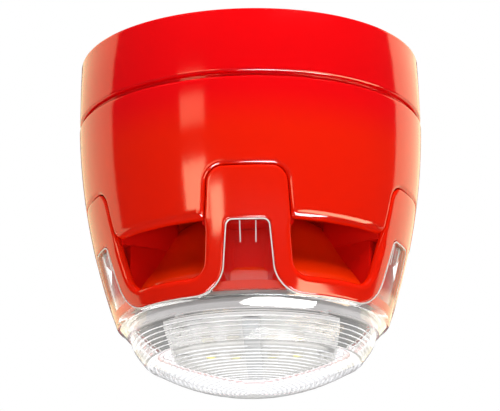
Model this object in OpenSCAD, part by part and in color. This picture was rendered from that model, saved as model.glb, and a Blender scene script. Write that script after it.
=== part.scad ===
// Ceiling horn strobe: a fixed base, and a twist-lock head with five horn mouths,
// a piezo sounder, an LED strobe board and a clear ribbed lens.
// The ceiling face is at z = 0 and everything hangs below it. The front is -Y.

/* [Body] */
// Largest diameter of the body
body_d = 100; // [98:0.5:102]
// Wall of the red mouldings
wall = 2.4; // [2:0.1:2.8]
// Lower edge of the base ring
base_bottom = -18.6; // [-19:0.1:-18]
// Upper edge of the upper body
upper_top = -19.9; // [-20.2:0.1:-19.7]
// Lower edge of the upper body, which is the top of the horn mouths
upper_bottom = -58.4; // [-59:0.1:-58]

/* [Horn] */
// Number of tabs, and of horn mouths between them
tabs = 5; // [5:5]
// Top of each tab
tab_top = -44.6; // [-45.5:0.1:-44]
// Sill of the horn mouths
mouth_sill = -73; // [-73.5:0.1:-72.5]
// Lower edge of the red band under the mouths
band_bottom = -78; // [-78.4:0.1:-77.8]
// Radius of the throat under the sounder
throat_r = 7; // [5:0.5:8]

/* [Window and lens] */
// Top of the clear windows in the tabs
window_top = -58.7; // [-59.5:0.1:-58]
// Wall of the clear lens
lens_wall = 2; // [1.8:0.1:2.2]
// Lowest point of the lens
lens_bottom = -98; // [-99:0.5:-97]
// Ridges round the inside of the lens cap
cap_ridges = 12; // [8:1:14]

/* [Mounting] */
// Distance between the centres of the two fixing slots
fixing_spacing = 56; // [54:0.5:58]
// Width of a fixing slot
slot_w = 4.6; // [4:0.1:5]
// Length of a fixing slot, end to end
slot_l = 11; // [8:0.5:11]
// Radius of the cable hole in the grommet
cable_r = 4; // [3:0.5:5]
// Angle that the head turns to unlock
twist = 18; // [17:1:19]

/* [Switches] */
// Number of levers on the tone switch
levers = 5; // [5:5]

/* [Hidden] */
$fn = 96;
eps = 0.01;
clearance = 0.25;
step = 360 / tabs;
tab_angles = [for (i = [0:tabs - 1]) i * step];
mouth_angles = [for (i = [0:tabs - 1]) (i + 0.5) * step];
screw_septa = [0, step, 3 * step, 4 * step];
wire_septum = 2 * step;

// Outer profile of the head: one long arc that starts level with the base
arc_r = 182;
arc_z = -16;
function body_r(z) = body_d / 2 - (arc_r - sqrt(arc_r * arc_r - pow(z - arc_z, 2)));

// Base
base_r_top = 49.5;
base_r_bottom = 49.9;
base_inner_r = 47;
plate_t = 2.6;
groove_r = 48.3;
grommet_r = 10;
lug_angles = [30, 150, 270];
lug_w = 16;
base_lug_z = [-15.6, -13.4];
head_lug_z = [-13.3, -11.1];
spigot_r = 44.9;
spigot_in = 42.6;
spigot_top = -9.5;
seal_z = -17.5;
seal_section = 1.2;
seal_centre = 45.6;

// Terminals and contacts
block_x = 17;
block_y = [17, 33];
block_z = [-11.2, -plate_t];
block_angles = [0, 180];
terminal_x = 8.5;
terminal_y = 29.2;
wire_hole_z = -6.2;
contact_r = 24;
contact_angles = [-13, 13, 167, 193];
leaf_z = -11.75;
leaf_t = 0.35;
pin_r = 1.1;
pin_top = -11.9;

// Chassis, circuit board and pillars
chassis_z = [-24.6, -22.4];
chassis_r = 47.1;
board_z = [-31.6, -30];
board_r = 38.5;
pillar_r = 33;
pillar_angles = [36, 108, 252, 324];
switch_x = 2.6;
switch_y = -11;
lever_pitch = 2.54;
lever_travel = 1.4;
dial_x = -14;
dial_y = 12;

// Horn: ceiling of the mouths, and the cone under it
septum_r = 24.5;
septum_half = 16.6;
recess_r = 36;
ceiling = [
    [throat_r, -39.8], [15, -40.7], [22, -42.4], [28, -44.8],
    [33, -47.9], [37.5, -51.6], [40.6, -55], [42.4, -58]
];
cone_top = -46.5;
cone = [
    [10, -47.2], [18, -49.3], [22, -51.7], [24.6, -54.3], [27.2, -57.7],
    [31.9, -64.9], [34.5, -68.1], [37.2, -71.8]
];
cone_t = 1.9;
flange_z = [-76.6, -74.4];
screw_r = 28;

// Sounder
driver_z = -37.4;
piezo_r = 17.5;
clamp_r = 20.5;
clamp_in = 14.6;
clamp_t = 2;

// Strobe
strobe_z = [-82.3, -80.8];
strobe_r = 31.1;
strobe_side = 24.4;
strobe_side_y = 18.6;
strobe_arc = 45;
tray_z = [-77.6, -76.8];
tray_r = 34.4;
guide_start = -28.5;
guide_length = 50;
strobe_pillars = [[21, 10], [-21, 10], [20, -16], [-20, -16]];
led_x = [-12.8, -5.5, 5.5, 12.8];
led_y = [-8, 8];

// Lens
rim_corner = -78.5;
lens_shelf = -78.05;
spigot_z = -77.4;
dome_top = -81.8;
dome_r = 35.1;
cap_z = -89.1;
cap_r = 30.8;
rib_half = 2.2;

// ---- helpers ----

// Turns a feature built towards -Y by each angle in turn
module around(angles) {
    for (a = angles)
        rotate([0, 0, a])
            children();
}

// Puts a feature at radius r and angle a from the front
module at(r, a) {
    rotate([0, 0, a])
        translate([0, -r, 0])
            children();
}

// Extrudes an outline drawn in x and z outwards from radius r0 to r1 towards -Y
module outwards(r0, r1) {
    rotate([90, 0, 0])
        translate([0, 0, r0])
            linear_extrude(r1 - r0)
                children();
}

// A ring between two radii and two heights
module ring(r0, r1, z0, z1) {
    translate([0, 0, z0])
        difference() {
            cylinder(r = r1, h = z1 - z0);
            translate([0, 0, -1])
                cylinder(r = r0, h = z1 - z0 + 2);
        }
}

// A wedge of a ring, centred on the front
module ring_wedge(r0, r1, z0, z1, width) {
    translate([0, 0, z0])
        rotate([0, 0, -90 - width / 2])
            rotate_extrude(angle = width)
                translate([r0, 0])
                    square([r1 - r0, z1 - z0]);
}

// Shell of the head between two depths below its outer profile
module body_shell(z0, z1, d0, d1) {
    steps = ceil((z1 - z0) / 7);
    levels = [for (i = [0:steps]) z0 + (z1 - z0) * i / steps];
    rotate([0, 0, step / 4])
        rotate_extrude()
            polygon(concat(
                [for (z = levels) [body_r(z) - d0, z]],
                [for (i = [steps:-1:0]) [body_r(levels[i]) - d1, levels[i]]]
            ));
}

// A pan-head screw with its head's underside at z = 0 and its shank downwards
module screw(head_r, head_h, shank_r, length) {
    difference() {
        union() {
            cylinder(r = head_r, h = head_h);
            translate([0, 0, -length])
                cylinder(r = shank_r, h = length + eps);
        }
        for (a = [0, 90])
            rotate([0, 0, a])
                translate([-head_r * 0.6, -head_r * 0.13, head_h * 0.45])
                    cube([head_r * 1.2, head_r * 0.26, head_h]);
    }
}

// ---- outlines drawn in x and z ----

// Points along an arc about [x, z], from angle a0 to angle a1
function arc(x, z, r, a0, a1) = [
    for (i = [0:5])
        let (a = a0 + (a1 - a0) * i / 5)
        [x + r * cos(a), z + r * sin(a)]
];
function mirrored(points) = [for (i = [len(points) - 1:-1:0]) [-points[i][0], points[i][1]]];

// Right-hand edge of a tab, from its foot up to its rounded top
tab_corner = 4.5;
tab_half = 11.2;
tab_foot = 12.4;
tab_foot_z = -68.4;
function tab_edge(grow) = concat(
    [[tab_foot + grow, tab_foot_z], [tab_half + grow, tab_top - tab_corner]],
    arc(tab_half - tab_corner, tab_top - tab_corner, tab_corner + grow, 0, 90)
);

// A tab from its rounded top down to the given height
module tab_outline(grow, bottom) {
    right = tab_edge(grow);
    polygon(concat([[tab_foot + grow, bottom]], right, mirrored(right), [[-tab_foot - grow, bottom]]));
}

// Right-hand edge of a window, from the flare at its foot up to its rounded top
window_half = 6.3;
window_foot = 7.1;
window_corner = 1.8;
flare = 8;
function window_edge(shrink, foot) = concat(
    arc(
        window_foot - shrink + band_bottom + flare - foot, band_bottom + flare,
        band_bottom + flare - foot, 270, 180
    ),
    arc(
        window_half - shrink - window_corner, window_top - shrink - window_corner,
        window_corner, 0, 90
    )
);

// The window in a tab, which flares out at its foot
module window_outline() {
    right = window_edge(0, band_bottom);
    foot = right[0][0];
    polygon(concat(
        [[foot, band_bottom - 1]], right, mirrored(right), [[-foot, band_bottom - 1]]
    ));
}

// What is cut away on both sides of a tab to open the horn mouths
module mouth_outline() {
    corner = 4;
    reach = 29;
    edge = tab_edge(0);
    top = edge[len(edge) - 1];
    right = concat(
        [[top[0], tab_top + 1], [reach, tab_top + 1], [reach, mouth_sill]],
        arc(tab_foot + corner, mouth_sill + corner, corner, 270, 180),
        edge
    );
    polygon(right);
    polygon(mirrored(right));
}

// What is cut away on both sides of a lens tab
module lens_gap_outline() {
    reach = 29;
    edge = window_edge(0.2, lens_shelf);
    top = edge[len(edge) - 1];
    right = concat([[top[0], window_top + 1], [reach, window_top + 1], [reach, lens_shelf]], edge);
    polygon(right);
    polygon(mirrored(right));
}

// ---- base ----

module slot(x) {
    translate([x, 0, -plate_t - 1]) {
        for (side = [-1, 1])
            translate([side * (slot_l - slot_w) / 2, 0, 0])
                cylinder(r = slot_w / 2, h = plate_t + 2);
        translate([-(slot_l - slot_w) / 2, -slot_w / 2, 0])
            cube([slot_l - slot_w, slot_w, plate_t + 2]);
    }
}

module base_housing() {
    color("red") {
        difference() {
            rotate_extrude()
                polygon([
                    [0, 0], [base_r_top - 0.8, 0], [base_r_top, -0.8],
                    [base_r_bottom, base_bottom + 0.5], [base_r_bottom - 0.5, base_bottom],
                    [groove_r, base_bottom], [groove_r, upper_top + 0.3],
                    [base_inner_r, upper_top + 0.3], [base_inner_r, -plate_t], [0, -plate_t]
                ]);
            translate([0, 0, -plate_t - 1])
                cylinder(r = grommet_r, h = plate_t + 2);
            ring(40.5, 43.5, -1, 1);
            for (side = [-1, 1])
                slot(side * fixing_spacing / 2);
        }
        around(lug_angles) {
            ring_wedge(45.1, base_inner_r + eps, base_lug_z[0], base_lug_z[1], lug_w);
            rotate([0, 0, lug_w / 2 + 1.5])
                ring_wedge(45.3, base_inner_r + eps, base_lug_z[0], head_lug_z[1], 2);
        }
        for (a = block_angles)
            rotate([0, 0, a])
                for (side = [-1, 1])
                    translate([side * (block_x + 1.2) - 1, -30, -6])
                        cube([2, 10, 6 - plate_t + eps]);
    }
}

module ceiling_gasket() {
    color("dimgray")
        ring(40.6, 43.4, -1, 0);
}

module cable_grommet() {
    color("black")
        rotate_extrude()
            polygon([
                [cable_r, -7], [cable_r, -0.4], [grommet_r - 0.05, -0.4],
                [grommet_r - 0.05, -plate_t - 0.02], [12.5, -plate_t - 0.02],
                [12.5, -4], [8, -4.4], [cable_r + 1.6, -7]
            ]);
}

module terminal_block() {
    difference() {
        translate([-block_x, -block_y[1], block_z[0]])
            cube([2 * block_x, block_y[1] - block_y[0], block_z[1] - block_z[0]]);
        for (side = [-1, 1]) {
            translate([side * terminal_x, -terminal_y, block_z[0] - 1])
                cylinder(r = 2.9, h = 4.2);
            translate([side * terminal_x - 2.6, -terminal_y - 2.6, block_z[0] + 3])
                cube([5.2, 5.2, 4.6]);
            translate([side * terminal_x, -block_y[0] + 1, wire_hole_z])
                rotate([90, 0, 0])
                    cylinder(r = 1.9, h = block_y[1] - block_y[0] - 4);
        }
        translate([-0.6, -block_y[1] - 1, block_z[0] - 1])
            cube([1.2, 20, 3]);
    }
}

module terminal_block_front() {
    color("white")
        rotate([0, 0, block_angles[0]])
            terminal_block();
}

module terminal_block_rear() {
    color("white")
        rotate([0, 0, block_angles[1]])
            terminal_block();
}

// One terminal at a time, in the frame of its block
module at_terminals() {
    for (a = block_angles)
        for (side = [-1, 1])
            rotate([0, 0, a])
                translate([side * terminal_x, -terminal_y, 0])
                    children();
}

module terminal_screws() {
    color("silver")
        at_terminals()
            translate([0, 0, block_z[0] + 2.4])
                mirror([0, 0, 1])
                    screw(2.7, 1.8, 1.4, 3.4);
}

module wire_clamps() {
    color("gold")
        at_terminals()
            difference() {
                translate([-2.5, -2.5, block_z[0] + 3.1])
                    cube([5, 5, 4.4]);
                translate([0, 3, wire_hole_z])
                    rotate([90, 0, 0])
                        cylinder(r = 1.6, h = 6);
                translate([0, 0, block_z[0] + 2])
                    cylinder(r = 1.45, h = 5);
            }
}

module contact_leaves() {
    color("goldenrod")
        around(contact_angles) {
            rotate([0, 0, -8])
                ring_wedge(contact_r - 2.4, contact_r + 2.4, leaf_z, leaf_z + leaf_t, 24);
            translate([-1.5, -contact_r - 2.4, leaf_z + eps])
                cube([3, 0.5, block_z[0] - leaf_z - 0.02]);
        }
}

module earth_terminal() {
    color("gold")
        at(36, 62)
            difference() {
                translate([-4, -3.5, -10])
                    cube([8, 7, 10 - plate_t]);
                translate([0, 0, -11])
                    cylinder(r = 1.6, h = 6);
                translate([0, 5, -5.6])
                    rotate([90, 0, 0])
                        cylinder(r = 1.5, h = 10);
            }
}

module earth_screw() {
    color("silver")
        at(36, 62)
            translate([0, 0, -10.02])
                mirror([0, 0, 1])
                    screw(2.8, 1.6, 1.5, 3.6);
}

// ---- head ----

module head_chassis() {
    color("gainsboro")
        difference() {
            union() {
                translate([0, 0, chassis_z[0]])
                    cylinder(r = chassis_r, h = chassis_z[1] - chassis_z[0]);
                ring(spigot_in, spigot_r, chassis_z[1] - eps, spigot_top);
                around(lug_angles)
                    ring_wedge(spigot_r - 0.4, 46.7, head_lug_z[0], head_lug_z[1], lug_w);
                around(contact_angles)
                    translate([0, -contact_r, chassis_z[1] - eps])
                        cylinder(r = 3, h = 8);
            }
            ring(spigot_r - 0.55, spigot_r + 1, seal_z - 1.25, seal_z + 1.25);
            around(contact_angles)
                translate([0, -contact_r, chassis_z[0] - 1])
                    cylinder(r = pin_r + 0.05, h = 20);
            around(pillar_angles)
                translate([0, -pillar_r, chassis_z[0] - 1])
                    cylinder(r = 1.7, h = 6);
            translate([switch_x - 8, switch_y - 5.5, chassis_z[0] - 1])
                cube([16, 11, 6]);
            translate([dial_x, dial_y, chassis_z[0] - 1])
                cylinder(r = 4.6, h = 6);
        }
}

module head_seal() {
    color("black")
        rotate_extrude()
            translate([seal_centre, seal_z])
                circle(r = seal_section);
}

module upper_body() {
    color("red")
        difference() {
            union() {
                body_shell(upper_bottom, upper_top, 0, wall);
                ring(spigot_r + 0.35, 47.8, chassis_z[1] + 0.02, upper_top);
            }
            around(tab_angles)
                outwards(20, 60)
                    tab_outline(clearance, band_bottom);
        }
}

module contact_pins() {
    color("gold")
        around(contact_angles)
            translate([0, -contact_r, board_z[1]])
                cylinder(r = pin_r, h = pin_top - board_z[1]);
}

module chassis_screws() {
    color("silver")
        around(pillar_angles)
            translate([0, -pillar_r, chassis_z[1] + 0.02])
                screw(3, 2, 1.5, 12);
}

module main_board() {
    color("green")
        difference() {
            translate([0, 0, board_z[0]])
                cylinder(r = board_r, h = board_z[1] - board_z[0]);
            around(pillar_angles)
                translate([0, -pillar_r, board_z[0] - 1])
                    cylinder(r = 2.8, h = 4);
            around(screw_septa)
                translate([0, -board_r - 2, board_z[0] - 1])
                    cylinder(r = 4, h = 4);
        }
}

module microcontroller() {
    color("dimgray")
        translate([12, 14, board_z[1]]) {
            translate([-4, -4, 0.2])
                cube([8, 8, 1.3]);
            for (a = [0:90:270])
                rotate([0, 0, a])
                    for (i = [-3:3])
                        translate([i - 0.2, -5, 0])
                            cube([0.4, 1.2, 0.35]);
        }
}

module reservoir_capacitors() {
    color("darkslateblue")
        for (x = [-26, 26])
            translate([x, -4, board_z[1]]) {
                cylinder(r = 3.9, h = 5.2);
                cylinder(r = 4.1, h = 0.8);
            }
}

module drive_inductor() {
    color("dimgray")
        translate([-24, 20, board_z[1]])
            difference() {
                union() {
                    cylinder(r = 5, h = 1);
                    cylinder(r = 3.4, h = 5);
                    translate([0, 0, 4])
                        cylinder(r = 5, h = 1);
                }
                translate([0, 0, 3])
                    cylinder(r = 1, h = 4);
            }
}

module link_header() {
    color("ivory")
        rotate([0, 0, wire_septum])
            translate([-6, -screw_r - 2.6, board_z[0] - 4])
                difference() {
                    cube([12, 5.2, 4 - eps]);
                    for (i = [0:3])
                        translate([1.5 + 3 * i, 2.6, -1])
                            cylinder(r = 0.75, h = 4);
                }
}

// ---- switches ----

function lever_x(i) = switch_x + (i - (levers + 1) / 2) * lever_pitch;

module tone_switch() {
    color("crimson")
        difference() {
            translate([switch_x - 7.2, switch_y - 4.8, board_z[1]])
                cube([14.4, 9.6, 5.2]);
            for (i = [1:levers])
                translate([lever_x(i) - 0.7, switch_y - 1.9, board_z[1] + 3.4])
                    cube([1.4, 3.8, 3]);
        }
}

module tone_lever(i) {
    color("white")
        translate([lever_x(i) - 0.55, switch_y - 1.7, board_z[1] + 3.5])
            cube([1.1, 1.9, 2.8]);
}

module volume_trimmer() {
    color("royalblue")
        translate([dial_x, dial_y, board_z[1]])
            difference() {
                translate([-3.4, -3.4, 0])
                    cube([6.8, 6.8, 4.6]);
                translate([0, 0, 2])
                    cylinder(r = 2.6, h = 4);
            }
}

module volume_dial() {
    color("white")
        translate([dial_x, dial_y, board_z[1] + 2.1])
            difference() {
                cylinder(r = 2.5, h = 3);
                translate([-1.9, -0.35, 2.2])
                    cube([3.8, 0.7, 2]);
                translate([-0.35, 0, 2.2])
                    cube([0.7, 1.9, 2]);
            }
}

// ---- sounder ----

module horn_plate() {
    back = [for (p = ceiling) [p[0], p[1] + wall - 0.4]];
    outline = concat(ceiling, [[42.4, -54.4]], [for (i = [len(back) - 2:-1:0]) back[i]]);
    color("red")
        difference() {
            union() {
                rotate_extrude()
                    polygon(outline);
                ring(throat_r + 1, clamp_r, -40.2, driver_z);
                intersection() {
                    union() {
                        around(pillar_angles)
                            translate([0, -pillar_r, -50])
                                cylinder(r = 4, h = board_z[0] + 50);
                        around(screw_septa)
                            translate([0, -screw_r, -48])
                                cylinder(r = 4, h = 7.8);
                    }
                    rotate_extrude()
                        polygon(concat(
                            [[0, -39]], [for (p = ceiling) [p[0], p[1] + 0.9]],
                            [[46, -57], [46, -20], [0, -20]]
                        ));
                }
                around(pillar_angles)
                    translate([0, -pillar_r, board_z[0] - eps])
                        cylinder(r = 2.6, h = chassis_z[0] - board_z[0]);
            }
            around(pillar_angles)
                translate([0, -pillar_r, -38])
                    cylinder(r = 1.55, h = 20);
            around(screw_septa)
                translate([0, -screw_r, -50])
                    cylinder(r = 1.7, h = 15);
            rotate([0, 0, wire_septum])
                translate([-6, -screw_r - 2, -50])
                    cube([12, 4, 12]);
            translate([0, 0, driver_z - 1.2])
                cylinder(r = clamp_in, h = 5);
            translate([0, 0, driver_z - 0.4])
                cylinder(r = piezo_r + 0.1, h = 5);
            around([60, 180, 300])
                translate([0, -19, driver_z - 2])
                    cylinder(r = 0.9, h = 4);
        }
}

module piezo_plate() {
    color("gold")
        translate([0, 0, driver_z - 0.38])
            cylinder(r = piezo_r, h = 0.36);
}

module piezo_ceramic() {
    color("lightgray")
        translate([0, 0, driver_z - 0.02])
            cylinder(r = 12.5, h = 0.3);
}

module piezo_clamp() {
    color("dimgray")
        difference() {
            ring(clamp_in, clamp_r, driver_z, driver_z + clamp_t);
            around([60, 180, 300])
                translate([0, -19, driver_z - 1])
                    cylinder(r = 1.1, h = 5);
        }
}

module clamp_screws() {
    color("silver")
        around([60, 180, 300])
            translate([0, -19, driver_z + clamp_t + 0.02])
                screw(1.7, 1.1, 0.85, 3.4);
}

module piezo_leads() {
    color("firebrick")
        for (x = [-3, 3])
            translate([x, 0, driver_z + 0.3])
                cylinder(r = 0.5, h = board_z[0] - driver_z - 0.3);
}

// ---- horn ----

// Space between the ceiling and the cone, out to the middle of the shell
module horn_space() {
    gap = 0.04;
    low = concat([[0, cone_top]], cone);
    rotate([0, 0, step / 4])
        rotate_extrude()
            polygon(concat(
                [for (p = low) [p[0], p[1] + gap]],
                [[38, mouth_sill - 0.5], [39.6, mouth_sill - 0.5], [43.6, upper_bottom - 0.6]],
                [[42.3, upper_bottom - 0.3]],
                [
                    for (i = [len(ceiling) - 1:-1:0])
                        [ceiling[i][0] - 0.02, ceiling[i][1] - gap]
                ],
                [[0, ceiling[0][1] - gap]]
            ));
}

module septum() {
    half = [septum_r * sin(septum_half), septum_r * cos(septum_half)];
    reach = 43.2;
    tip = [reach * sin(septum_half), reach * cos(septum_half)];
    translate([0, 0, -76])
        linear_extrude(40)
            polygon([
                [-half[0], -half[1]], [-tip[0], -tip[1]], [tip[0], -tip[1]],
                [half[0], -half[1]]
            ]);
}

module window_recess() {
    translate([0, 0, flange_z[1]])
        linear_extrude(window_top - flange_z[1])
            polygon([[-7, -38], [7, -38], [4, -recess_r], [-4, -recess_r]]);
    outwards(37.3, 60)
        window_outline();
}

module horn_frame() {
    color("red") {
        difference() {
            body_shell(band_bottom, tab_top, 0, wall);
            around(tab_angles)
                outwards(20, 60)
                    mouth_outline();
            around(tab_angles)
                outwards(20, 60)
                    window_outline();
        }
        difference() {
            intersection() {
                horn_space();
                around(tab_angles)
                    septum();
            }
            around(tab_angles)
                window_recess();
            around(screw_septa)
                translate([0, -screw_r, -58])
                    cylinder(r = 1.45, h = 20);
            rotate([0, 0, wire_septum])
                translate([-6, -screw_r - 2, -72])
                    cube([12, 4, 40]);
        }
        rotate([0, 0, step / 4])
            rotate_extrude()
                polygon([
                    [34.6, flange_z[0]], [37.35, flange_z[0]], [38.1, flange_z[1]],
                    [34.6, flange_z[1]]
                ]);
    }
}

module horn_cone() {
    foot_r = cone[len(cone) - 1][0];
    foot_z = flange_z[1] + 0.02;
    drop = cone_t * 0.85;
    inset = cone_t * 0.75;
    color("red")
        difference() {
            union() {
                rotate_extrude()
                    polygon(concat(
                        [[0, cone_top]], cone, [[foot_r, foot_z], [foot_r - 1.9, foot_z]],
                        [for (i = [len(cone) - 1:-1:0]) [cone[i][0] - inset, cone[i][1] - drop]],
                        [[0, cone_top - drop - 0.6]]
                    ));
                intersection() {
                    for (p = strobe_pillars)
                        translate([p[0], p[1], strobe_z[1]])
                            cylinder(r = 3, h = 27);
                    translate([0, 0, -0.9])
                        rotate_extrude()
                            polygon(concat(
                                [[0, cone_top]], cone, [[foot_r, -80], [0, -80]]
                            ));
                }
            }
            for (p = strobe_pillars)
                translate([p[0], p[1], strobe_z[1] - 1])
                    cylinder(r = 1.25, h = 10);
            rotate([0, 0, wire_septum])
                translate([-5.5, -screw_r - 1.6, -66])
                    cube([11, 3.2, 30]);
        }
}

module horn_screws() {
    color("silver")
        around(screw_septa)
            translate([0, -screw_r, -40.18])
                screw(2.8, 1.9, 1.4, 16);
}

// ---- strobe ----

module strobe_wires() {
    color("firebrick")
        rotate([0, 0, wire_septum])
            for (i = [0:3])
                translate([-4.5 + 3 * i, -screw_r, strobe_z[1] + 2.5])
                    cylinder(r = 0.65, h = board_z[0] - 4 - strobe_z[1] - 2.5 + 2.9);
}

// A dark screen behind the board, pressed over the pillars of the cone
module strobe_tray() {
    color("dimgray")
        difference() {
            translate([0, 0, tray_z[0]])
                cylinder(r = tray_r, h = tray_z[1] - tray_z[0]);
            for (p = strobe_pillars)
                translate([p[0], p[1], tray_z[0] - 1])
                    cylinder(r = 3.04, h = 4);
            for (x = [-8, 8])
                translate([x, 6, tray_z[0] - 1])
                    cylinder(r = 5.4, h = 4);
            translate([-6.5, -14.5, tray_z[0] - 1])
                cube([13, 11, 4]);
            rotate([0, 0, wire_septum])
                translate([-6.5, -screw_r - 1.8, tray_z[0] - 1])
                    cube([13, 4.2, 4]);
        }
}

module strobe_board() {
    arc = [for (a = [-strobe_arc:9:strobe_arc]) [strobe_r * sin(a), strobe_r * cos(a)]];
    last = len(arc) - 1;
    color("white")
        difference() {
            translate([0, 0, strobe_z[0]])
                linear_extrude(strobe_z[1] - strobe_z[0])
                    polygon(concat(
                        [for (i = [0:last]) [arc[i][0], -arc[i][1]]],
                        [[strobe_side, -strobe_side_y], [strobe_side, strobe_side_y]],
                        [for (i = [last:-1:0]) arc[i]],
                        [[-strobe_side, strobe_side_y], [-strobe_side, -strobe_side_y]]
                    ));
            for (p = strobe_pillars)
                translate([p[0], p[1], strobe_z[0] - 1])
                    cylinder(r = 1.35, h = 4);
        }
}

module strobe_leds() {
    color("lightyellow")
        for (x = led_x)
            for (y = led_y)
                translate([x, y, strobe_z[0] - 0.95])
                    difference() {
                        translate([-1.75, -1.4, 0])
                            cube([3.5, 2.8, 0.95]);
                        translate([0, 0, -1])
                            cylinder(r = 1.1, h = 1.25);
                    }
}

module light_guide() {
    color("aliceblue")
        translate([-2.3, guide_start, strobe_z[0] - 3])
            cube([4.6, guide_length, 3]);
}

module strobe_driver_parts() {
    color("darkslateblue") {
        for (x = [-8, 8])
            translate([x, 6, strobe_z[1]])
                cylinder(r = 5, h = 12.5);
        translate([-6, -14, strobe_z[1]])
            cube([12, 10, 5]);
    }
}

module strobe_header() {
    color("ivory")
        rotate([0, 0, wire_septum])
            translate([-6, -screw_r - 1.4, strobe_z[1]])
                cube([12, 3.4, 2.5 - eps]);
}

module strobe_screws() {
    color("silver")
        for (p = strobe_pillars)
            translate([p[0], p[1], strobe_z[0]])
                mirror([0, 0, 1])
                    translate([0, 0, 0.02])
                        screw(2.4, 1.4, 1.2, 7);
}

// ---- lens ----

module lens_seal() {
    color("lightgray")
        ring(34.7, 36.3, spigot_z + 0.02, flange_z[0] - 0.02);
}

// A quarter section of the lens under its rim, with ridges inside
module lens_section() {
    drop = cap_z - lens_bottom;
    cap_round = (cap_r * cap_r + drop * drop) / (2 * drop);
    function cap_at(r, depth) = lens_bottom + depth + cap_round
        - sqrt(cap_round * cap_round - r * r);
    steps = 8;
    side_ridges = 4;
    inner_r = cap_r - lens_wall + 0.2;
    inner_z = cap_z + 0.6;
    side_in = [dome_r - lens_wall, dome_top + 0.6];
    outer = [for (i = [0:steps]) [cap_r * i / steps, cap_at(cap_r * i / steps, 0)]];
    cap_in = [
        for (i = [cap_ridges:-1:1], half = [0, 1])
            let (r = (inner_r - 1) * (i - half * 0.12) / cap_ridges)
            [r, cap_at(r, lens_wall + (half == 0 ? -0.3 : 0.3))]
    ];
    side = [
        for (i = [0:side_ridges - 1], half = [0, 1])
            let (t = (i + half * 0.2) / side_ridges)
            [
                side_in[0] + (inner_r - side_in[0]) * t + (half == 0 ? 0.35 : 0),
                side_in[1] + (inner_z - side_in[1]) * t
            ]
    ];
    wall_steps = 3;
    tab_h = window_top - 0.2 - lens_shelf;
    levels = [for (i = [0:wall_steps]) lens_shelf + tab_h * i / wall_steps];
    polygon(concat(
        outer,
        [[(cap_r + dome_r) / 2 + 0.25, (cap_z + dome_top) / 2], [dome_r, dome_top]],
        [[body_r(rim_corner) - 0.35, rim_corner - 0.25], [body_r(rim_corner) - 0.1, rim_corner]],
        [for (z = levels) [body_r(z) - 0.05, z]],
        [for (i = [wall_steps:-1:0]) [body_r(levels[i]) - 0.05 - lens_wall, levels[i]]],
        [[34.6, lens_shelf]],
        side, [[inner_r, inner_z]], cap_in, [[0, cap_at(0, lens_wall)]]
    ));
}

module lens() {
    color("whitesmoke", 0.4) {
        difference() {
            rotate([0, 0, step / 4])
                rotate_extrude()
                    lens_section();
            around(tab_angles)
                outwards(20, 60)
                    lens_gap_outline();
        }
        ring(34.8, 36, lens_shelf - 0.6, spigot_z);
        around(tab_angles)
            for (side = [-1, 1])
                translate([side * rib_half - 0.3, -body_r(-62) + lens_wall - 0.7, -64.6])
                    cube([0.6, 1.6, 5.2]);
    }
}

base_housing();
ceiling_gasket();
cable_grommet();
terminal_block_front();
terminal_block_rear();
terminal_screws();
wire_clamps();
contact_leaves();
earth_terminal();
earth_screw();
head_chassis();
head_seal();
upper_body();
contact_pins();
chassis_screws();
main_board();
microcontroller();
reservoir_capacitors();
drive_inductor();
link_header();
tone_switch();
tone_lever(1);  // tone_lever_1
tone_lever(2);  // tone_lever_2
tone_lever(3);  // tone_lever_3
tone_lever(4);  // tone_lever_4
tone_lever(5);  // tone_lever_5
volume_trimmer();
volume_dial();
horn_plate();
piezo_plate();
piezo_ceramic();
piezo_clamp();
clamp_screws();
piezo_leads();
horn_frame();
horn_cone();
horn_screws();
strobe_wires();
strobe_tray();
strobe_board();
strobe_leds();
light_guide();
strobe_driver_parts();
strobe_header();
strobe_screws();
lens_seal();
lens();
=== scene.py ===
import math

import bpy
from mathutils import Matrix, Vector


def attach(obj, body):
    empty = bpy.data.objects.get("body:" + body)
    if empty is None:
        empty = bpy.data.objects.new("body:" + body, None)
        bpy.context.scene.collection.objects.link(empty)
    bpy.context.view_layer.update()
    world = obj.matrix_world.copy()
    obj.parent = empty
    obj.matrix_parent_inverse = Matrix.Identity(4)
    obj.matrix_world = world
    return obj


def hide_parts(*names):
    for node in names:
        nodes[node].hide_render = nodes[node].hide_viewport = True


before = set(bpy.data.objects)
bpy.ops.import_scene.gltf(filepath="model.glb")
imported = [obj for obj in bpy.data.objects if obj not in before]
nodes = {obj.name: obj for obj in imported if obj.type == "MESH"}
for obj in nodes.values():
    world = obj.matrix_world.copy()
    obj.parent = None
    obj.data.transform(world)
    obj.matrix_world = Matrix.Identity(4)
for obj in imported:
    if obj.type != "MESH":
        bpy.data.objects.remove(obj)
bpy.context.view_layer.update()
mm = 0.001
print("frame loaded:", len(nodes), "nodes")


# shape of the body, in millimetres, with z = 0 at the ceiling
def bodyRadius(z):
    return 50 - (182 - math.sqrt(182 ** 2 - (z + 16) ** 2))


def onBody(u, z, depth=0):
    # u is the distance round the body from the middle of a tab, at radius 45
    r = bodyRadius(z) - depth
    return (r * math.sin(u / 45), -r * math.cos(u / 45), z)


def roundFrom(x, z):
    # distance round the body of a point that lies x beside the tab's middle
    return 45 * math.asin(x / bodyRadius(z))


halfSector = 45 * math.radians(36)


# modelling helpers
def deselect():
    if bpy.context.object and bpy.context.object.mode != "OBJECT":
        bpy.ops.object.mode_set(mode="OBJECT")
    bpy.ops.object.select_all(action="DESELECT")


def pick(piece):
    deselect()
    piece.select_set(True)
    bpy.context.view_layer.objects.active = piece


def editAll():
    bpy.ops.object.mode_set(mode="EDIT")
    bpy.ops.mesh.select_all(action="SELECT")


def objectMode():
    bpy.ops.object.mode_set(mode="OBJECT")


def named(name):
    piece = bpy.context.object
    piece.name = name
    piece.data.name = name
    return piece


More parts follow.
